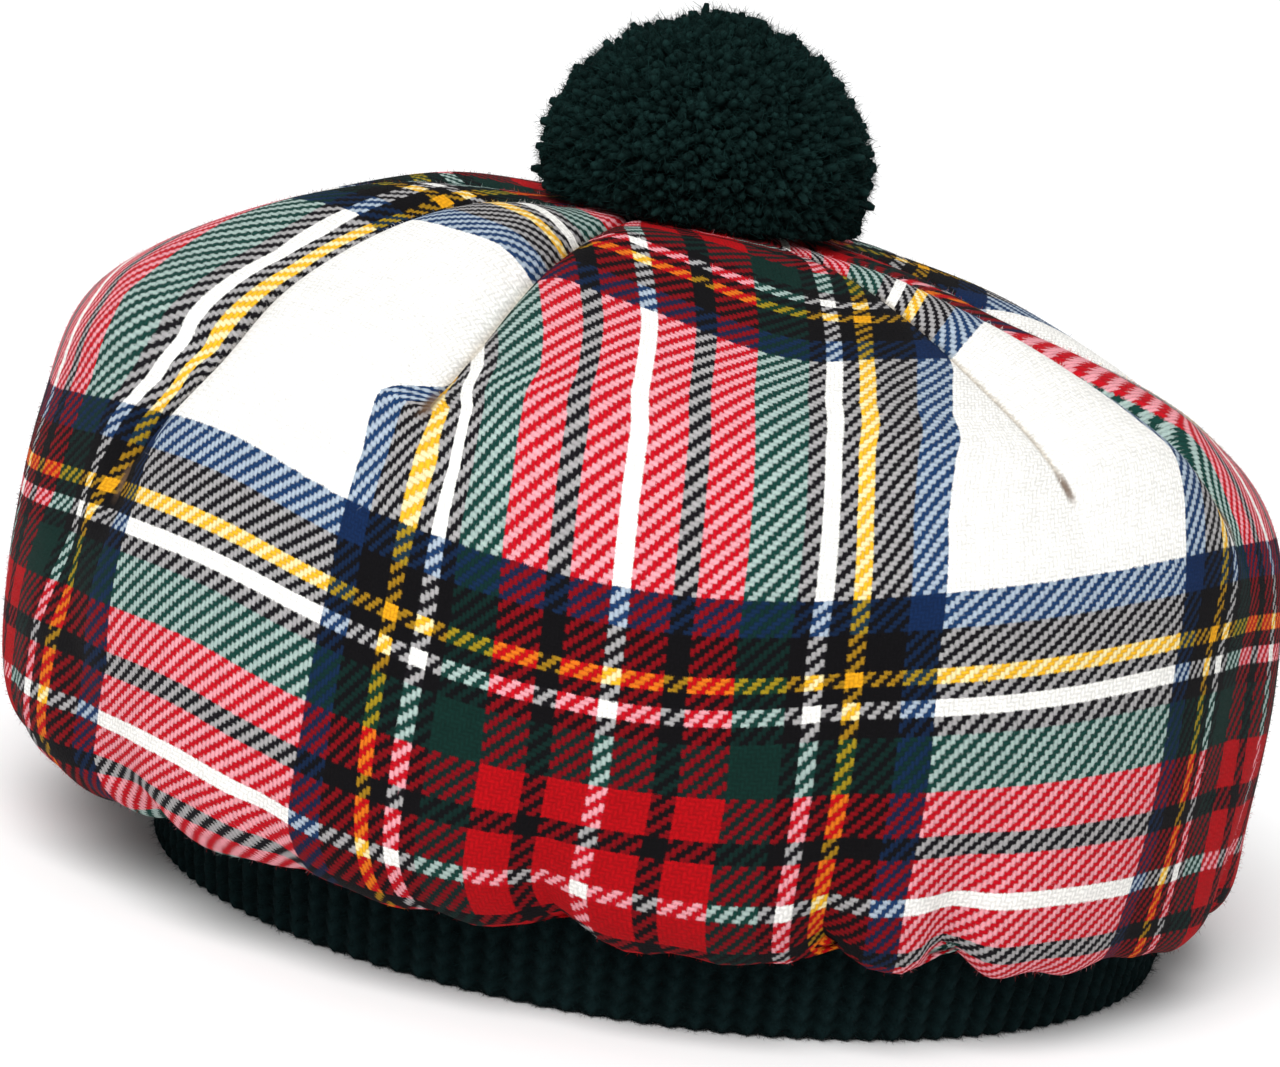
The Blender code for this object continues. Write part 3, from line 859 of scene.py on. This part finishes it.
def make_crown(settings):
    """Outer face, inner face CLOTH inside it, the cut edge at the hem and the two closed middles."""
    shares = crown_columns(settings.columns)
    column = (np.arange(GORES)[:, None] + shares[:-1]).ravel()
    count = len(column)
    outer_rows = crown_row_numbers(settings.rows)
    inner_rows = crown_row_numbers(34)
    outer, azimuth, radius = crown_point(*np.meshgrid(column, outer_rows), settings.waviness)
    inner, _, _ = crown_point(*np.meshgrid(column, inner_rows), settings.waviness, CLOTH)
    middles = np.stack([outer[-1].mean(axis=0), inner[-1].mean(axis=0)])
    points = np.concatenate([outer.reshape(-1, 3), inner.reshape(-1, 3), middles])
    start = outer.shape[0] * count
    outer_quads = ring_quads(len(outer_rows), count)
    inner_quads = ring_quads(len(inner_rows), count, start)[:, ::-1]
    i = np.arange(count)
    j = (i + 1) % count
    hem = np.stack([start + i, start + j, j, i], axis=-1)
    top, under = len(points) - 2, len(points) - 1
    lids = np.concatenate([
        np.stack([start - count + i, start - count + j, np.full(count, top)], axis=-1),
        np.stack([top - count + j, top - count + i, np.full(count, under)], axis=-1),
    ])
    outer_uv, inner_uv = (crown_uv(rows, shares) for rows in (outer_rows, inner_rows))
    outer_corners, inner_corners = corner_uvs(outer_uv), corner_uvs(inner_uv)[:, ::-1]
    edge, last = outer_uv[0], outer_uv[-1]
    hem_uv = np.stack([edge[:, :-1], edge[:, 1:], edge[:, 1:], edge[:, :-1]], axis=-2)
    lid_uv = np.stack([last[:, :-1], last[:, 1:], last[:, :-1] + (0, 20)], axis=-2)
    corner_uv = np.concatenate(
        [uv.reshape(-1, 2) for uv in (outer_corners, inner_corners, hem_uv, lid_uv, lid_uv)])
    row = np.repeat(outer_rows, count).reshape(outer.shape[:2])
    # Masks of the painted seam shade and of the painted shadows at the darts' tips, on the outer face only
    marks = np.zeros((2, len(points)))
    marks[:, :start] = [mark.ravel() for mark in dart_marks(azimuth, row, radius)]
    faces = np.concatenate([outer_quads, inner_quads, hem]).tolist() + lids.tolist()
    material = tartan_material(settings, "tartan_cloth")
    piece = add_mesh(
        "crown_cloth", points, faces, material, corner_uv, {"seam_shade": marks[0], "tip_shadow": marks[1]})
    dress(piece, "tartan_wool", "crown")
    return outer, outer_quads, outer_corners


def make_crown_nap(settings, outer, quads, quad_uv):
    """Loose fibres over the cloth, each the colour of the thread that it grows from."""
    random = np.random.default_rng(7)
    pick, s, t, place, normal = scatter(random, outer, quads, settings.nap)
    points, faces = fibres(random, place, normal, settings.nap_length, CLOTH_FIBRE, lean=2.2, curl=0.6)
    a, b, c, d = (quad_uv[pick, i] for i in range(4))
    uv = (1 - t) * ((1 - s) * a + s * b) + t * ((1 - s) * d + s * c)
    corner_uv = np.concatenate([np.repeat(uv, 4, axis=0), np.repeat(uv, 3, axis=0)])
    material = tartan_material(settings, "tartan_nap", nap=True)
    dress(add_mesh("crown_nap", points, faces, material, corner_uv), "tartan_wool")


def band_section(count):
    """Closed loop of a soft-cornered strip, |x|^4 + |z|^4 = 1, x out and z up, with steps a third as long
    on the outer half."""
    t = np.linspace(0, TAU, 2001)
    x = np.sign(np.cos(t)) * np.abs(np.cos(t)) ** 0.5 * BAND_THICKNESS / 2
    z = np.sign(np.sin(t)) * np.abs(np.sin(t)) ** 0.5 * BAND_HEIGHT / 2
    steps = np.hypot(np.diff(x), np.diff(z)) * np.where(x[1:] > 0, 3, 1)
    length = np.concatenate([[0], np.cumsum(steps)])
    at = np.linspace(0, length[-1], count, endpoint=False)
    return np.interp(at, length, x), np.interp(at, length, z)


def make_headband(settings):
    """The strip carried round the head, with loose fibres. Ribs: depth * ((1 - cos(ribs * angle)) / 2)^1.3
    off it all round. Stitches: slanting bumps |sin|^0.7 that meet in a V on the middle of each rib."""
    count = RIBS * 10
    x, z = band_section(68)
    angle, x = np.meshgrid(np.arange(count) * TAU / count, x)
    z = np.repeat(z[:, None], count, axis=1)
    face = x / (BAND_THICKNESS / 2)
    across = np.cos(RIBS * angle)
    rib = settings.rib_depth * ((1 - across) / 2) ** 1.3
    side = ((RIBS * angle / TAU + 0.5) % 1.0 - 0.5) * 2
    legs = np.abs(np.sin(math.pi * (z / settings.stitch - 0.55 * np.abs(side))))
    stitch = settings.stitch_depth * legs ** 0.7 * (0.4 + 0.6 * (1 - np.abs(side)))
    off = -rib * (0.55 + 0.45 * face) + (stitch - settings.stitch_depth * 0.6)
    off = off * smooth_step(0, 0.35, np.abs(face) + (np.abs(z) > BAND_HEIGHT * 0.3))
    taper = -BAND_TAPER * (1 - smooth_step(-0.5, 0.2, z / BAND_HEIGHT))
    radius = HEAD_RADIUS + BAND_THICKNESS / 2 + x + off * face + taper
    height = BAND_HEIGHT / 2 + z + off * np.sign(z) * smooth_step(0.8, 1.0, np.abs(2 * z / BAND_HEIGHT))
    height = np.clip(height, 0.00002, BAND_HEIGHT)
    points = np.stack([BAND_SHIFT + radius * np.sin(angle), -radius * np.cos(angle), height], axis=-1)
    rings = np.concatenate([points, points[:1]])
    quads = ring_quads(len(rings), count) % (len(points) * count)
    # Painted shade in the hollows between the ribs and between the stitches, painted light on the rib tops
    # and stitch legs
    depth = np.clip(0.5 + 0.4 * across, 0, 1) * 0.7 + 0.3 * legs
    colour = tuple(settings.colour)
    add_yarn("headband_knit", "ribbed_knit", points, quads.tolist(), depth,
             ("headband_yarn", colour, 1500.0, 0.45, 1.5), "headband")
    random = np.random.default_rng(5)
    _, _, _, place, normal = scatter(random, points, quads, settings.nap)
    nap, faces = fibres(random, place, normal, settings.nap_length, KNIT_FIBRE, lean=1.6, curl=0.6)
    nap[..., 2] = np.clip(nap[..., 2], 0.0001, BAND_HEIGHT + 0.002)
    shade = np.repeat(random.random(len(nap)), 5)
    add_yarn("headband_nap", "ribbed_knit", nap, faces, shade,
             ("headband_fibres", colour, 1500.0, 0.3, 2.2))


def toorie_place(points):
    """Points about the middle of the widest ring, leant with the crown and set down on it."""
    points = points + (0, 0, TOORIE_SINK)
    turned = points.copy()
    turned[..., 0] = points[..., 0] * math.cos(SEAT_TILT) + points[..., 2] * math.sin(SEAT_TILT)
    turned[..., 2] = points[..., 2] * math.cos(SEAT_TILT) - points[..., 0] * math.sin(SEAT_TILT)
    return turned + (0, 0, BAND_HEIGHT + SEAM_GAP + CROWN_RISE + SEAM_GAP)


def toorie_lines(random, n):
    """Four points along each yarn end, from deep inside to its tip, spread by the golden angle.

    Above its widest ring the ball is |radius|^1.8 + |height|^1.8 = 1, a little pointed, and round below."""
    i = np.arange(n) + 0.5
    z = 1 - i / n * 1.34
    turn = i * math.pi * (3 - math.sqrt(5))
    flat = np.sqrt(np.maximum(1 - z * z, 0))
    out = np.stack([flat * np.cos(turn), flat * np.sin(turn), z], axis=-1)
    out = unit(out + random.normal(0, 0.03, (n, 3)))
    wide = TOORIE_RADIUS * 1.035
    dome = (np.hypot(out[:, 0], out[:, 1]) ** 1.8 + np.abs(out[:, 2]) ** 1.8) ** (-1 / 1.8)
    dome = np.where(out[:, 2] > 0, dome, 1.0)[:, None]
    surface = out * dome * np.where(out[:, 2:] > 0, [[wide, wide, TOORIE_HEIGHT]], wide)
    swell = np.sin(9 * out[:, :1] + 2) + np.sin(11 * out[:, 1:2] + 1)
    swell = swell + np.sin(10 * out[:, 2:] + 13 * out[:, :1])
    tip = surface * (0.965 + 0.006 * swell + 0.010 * random.normal(size=(n, 1)).clip(-1.5, 1.5))
    root = surface * ROOT_SHARE
    lean = random.normal(0, 0.0009, (n, 3))
    share = np.array([0.0, 0.55, 0.88, 1.0])[None, :, None]
    line = root[:, None] * (1 - share) + tip[:, None] * share + lean[:, None] * share ** 2
    line[..., 2] = np.maximum(line[..., 2], 0.0012 - TOORIE_SINK)
    return line


def yarn_tubes(random, line, along, width, sides):
    """A tube round each line of four points, thinner at both ends, with a flat cap on its tip."""
    n = len(line)
    side = unit(np.cross(along, random.normal(size=(n, 3))))
    other = np.cross(along, side)
    around = (np.arange(sides) * TAU / sides)[:, None]
    radius = width / 2 * np.array([0.8, 1.0, 1.0, 0.6])[None, :, None, None]
    radius = radius * random.uniform(0.8, 1.2, (n, 1, 1, 1))
    ring = side[:, None, None] * np.cos(around) + other[:, None, None] * np.sin(around)
    start = np.arange(n)[:, None] * 4 * sides
    quads = (start[:, None] + ring_quads(4, sides)).reshape(-1, 4)
    caps = start + 3 * sides + np.arange(sides)
    return line[:, :, None] + ring * radius, quads.tolist() + caps.tolist()


def make_toorie(settings):
    """A heart darkened as painted shade, yarn ends as bent tubes, and frayed fibres on their ends."""
    random = np.random.default_rng(11)
    colour = tuple(settings.colour)
    # Heart: rings of a dome from the base to the top
    rings, columns = 24, 48
    up, turn = np.meshgrid(
        np.linspace(-0.33, math.pi / 2, rings), np.arange(columns) * TAU / columns, indexing="ij")
    out = TOORIE_RADIUS * np.cos(up)
    heart = np.stack([out * np.cos(turn), out * np.sin(turn), TOORIE_HEIGHT * np.sin(up)], axis=-1)
    faces = ring_quads(rings, columns).tolist() + [list(range(columns))[::-1]]
    # Painted shade: the heart deep in the ball is 0.4 of the yarn's colour
    dark = tuple(c * 0.4 for c in colour)
    add_yarn("toorie_heart", "pompom_yarn", toorie_place(HEART_SHARE * heart), faces, None,
             ("toorie_deep", dark, 900.0, 0.4, 1.0), "toorie")

    n, sides = settings.strands, 5
    line = toorie_lines(random, n)
    along = unit(line[:, -1] - line[:, 0])
    tubes, faces = yarn_tubes(random, line, along, settings.strand_width, sides)
    tubes[..., 2] = np.maximum(tubes[..., 2], -TOORIE_SINK)
    # Painted shade at each strand's root deep in the ball and painted light at its tip, times a random tone
    # for each strand
    shade = np.array([0.0, 0.2, 0.8, 1.0])[None, :, None] * random.uniform(0.35, 1.0, (n, 1, 1))
    add_yarn("toorie_yarn", "pompom_yarn", toorie_place(tubes), faces, np.repeat(shade, sides, axis=2),
             ("toorie_strands", colour, 2200.0, 0.5, 1.6))

    owner = np.repeat(np.arange(n), settings.fibres)
    place = line[owner, -2] + random.normal(0, 0.0005, (len(owner), 3))
    points, faces = fibres(random, place, along[owner], FRAY_LENGTH, YARN_FIBRE, lean=3.0, curl=0.9)
    points[..., 2] = np.maximum(points[..., 2], -TOORIE_SINK)
    # A random tone for each frayed fibre, up to 2.6 times the colour: lighter than the strands as painted
    # light on the fuzz
    shade = np.repeat(random.random(len(owner)), 5)
    add_yarn("toorie_fibres", "pompom_yarn", toorie_place(points), faces, shade,
             ("toorie_fray", colour, 1800.0, 0.3, 2.6))


def camera_axes(stage):
    """Right, up and back of the camera after its roll, as columns."""
    back = Vector((0, -math.cos(stage.elevation), math.sin(stage.elevation)))
    up = Vector((0, math.sin(stage.elevation), math.cos(stage.elevation)))
    right = Vector((1, 0, 0))
    turned = right * math.cos(stage.roll) + up * math.sin(stage.roll)
    risen = up * math.cos(stage.roll) - right * math.sin(stage.roll)
    return Matrix((turned, risen, back)).transposed()


def add_sun(name, place, strength, spread):
    """A soft sun that shines from the place towards the origin."""
    data = bpy.data.lights.new(name, "SUN")
    data.energy = strength
    data.angle = math.radians(spread)
    light = bpy.data.objects.new(name, data)
    light.location = place
    light.rotation_euler = (-Vector(place)).to_track_quat("-Z", "Y").to_euler()
    bpy.context.scene.collection.objects.link(light)


def make_stage(stage):
    """Pale floor, an even sky, a soft sun from above the camera and the camera."""
    scene = bpy.context.scene
    scene.view_settings.view_transform = "Standard"
    world = bpy.data.worlds.new("sky")
    world.use_nodes = True
    sky = world.node_tree.nodes["Background"]
    sky.inputs["Color"].default_value = (1, 1, 1, 1)
    sky.inputs["Strength"].default_value = stage.sky
    scene.world = world

    rings = np.array([0.0, 0.3, 0.6, 1.2, 3.0, 8.0, 20.0])[:, None]
    angle = np.arange(64)[None] * TAU / 64
    out = rings[1:]
    points = np.stack([out * np.cos(angle), out * np.sin(angle), 0 * out * angle], axis=-1)
    points = np.concatenate([points.reshape(-1, 3), [[0, 0, 0]]])
    quads = ring_quads(6, 64)[:, ::-1].tolist()
    middle = len(points) - 1
    fan = [[middle, i, (i + 1) % 64] for i in range(64)]
    material, tree, shader = principled("pale_floor", 0.9)
    place = node(tree, "ShaderNodeTexCoord").outputs["Object"]
    speckle = node(tree, "ShaderNodeTexNoise", {"Vector": place, "Scale": 6.0, "Detail": 2.0})
    amount = maths(tree, "MULTIPLY", speckle.outputs["Fac"], 0.04)
    tint = blend_colours(tree, amount, (*stage.floor, 1), (0.85, 0.85, 0.86, 1))
    tree.links.new(tint, shader.inputs["Base Color"])
    floor = add_mesh("floor", points, fan + quads, material)

    add_sun("key", (-0.25, -1.2, 1.25), stage.key, 40)

    axes = camera_axes(stage)
    camera = bpy.data.cameras.new("camera")
    camera.lens, camera.sensor_width, camera.clip_start = stage.lens, FILM, 0.01
    rig = bpy.data.objects.new("camera", camera)
    rig.matrix_world = Matrix.Translation(Vector(TARGET) + axes.col[2] * stage.distance) @ axes.to_4x4()
    scene.collection.objects.link(rig)
    scene.camera = rig


# Operators and panel

class TAM_OT_crown(bpy.types.Operator):
    """Make the tartan crown with its darts, gathers and nap"""
    bl_idname = "tam.crown"
    bl_label = "Crown"

    def execute(self, context):
        settings = context.scene.tam.crown
        outer, quads, quad_uv = make_crown(settings)
        if settings.nap:
            make_crown_nap(settings, outer, quads, quad_uv)
        return {"FINISHED"}


class TAM_OT_headband(bpy.types.Operator):
    """Make the ribbed knitted headband"""
    bl_idname = "tam.headband"
    bl_label = "Headband"

    def execute(self, context):
        make_headband(context.scene.tam.headband)
        return {"FINISHED"}


class TAM_OT_toorie(bpy.types.Operator):
    """Make the pompom of cut yarn"""
    bl_idname = "tam.toorie"
    bl_label = "Toorie"

    def execute(self, context):
        make_toorie(context.scene.tam.toorie)
        return {"FINISHED"}


class TAM_OT_stage(bpy.types.Operator):
    """Make the pale floor, the soft lights and the camera"""
    bl_idname = "tam.stage"
    bl_label = "Stage"

    def execute(self, context):
        make_stage(context.scene.tam.stage)
        return {"FINISHED"}


class TAM_PT_panel(bpy.types.Panel):
    """Pieces of the tam and their settings"""
    bl_idname = "TAM_PT_panel"
    bl_label = "Tam o shanter"
    bl_space_type = "VIEW_3D"
    bl_region_type = "UI"
    bl_category = "Tam"

    def draw(self, context):
        tam = context.scene.tam
        for operator, group in (("tam.crown", tam.crown), ("tam.headband", tam.headband),
                                ("tam.toorie", tam.toorie), ("tam.stage", tam.stage)):
            box = self.layout.box()
            box.operator(operator)
            for key in group.__annotations__:
                box.prop(group, key)


CLASSES = (CrownSettings, HeadbandSettings, ToorieSettings, StageSettings, TamSettings,
           TAM_OT_crown, TAM_OT_headband, TAM_OT_toorie, TAM_OT_stage, TAM_PT_panel)


def register():
    for cls in CLASSES:
        bpy.utils.register_class(cls)
    bpy.types.Scene.tam = PointerProperty(type=TamSettings)


def unregister():
    del bpy.types.Scene.tam
    for cls in reversed(CLASSES):
        bpy.utils.unregister_class(cls)


def main():
    """Makes everything."""
    register()
    bpy.ops.tam.stage()
    bpy.ops.tam.crown()
    bpy.ops.tam.headband()
    bpy.ops.tam.toorie()


if __name__ == "__main__":
    main()
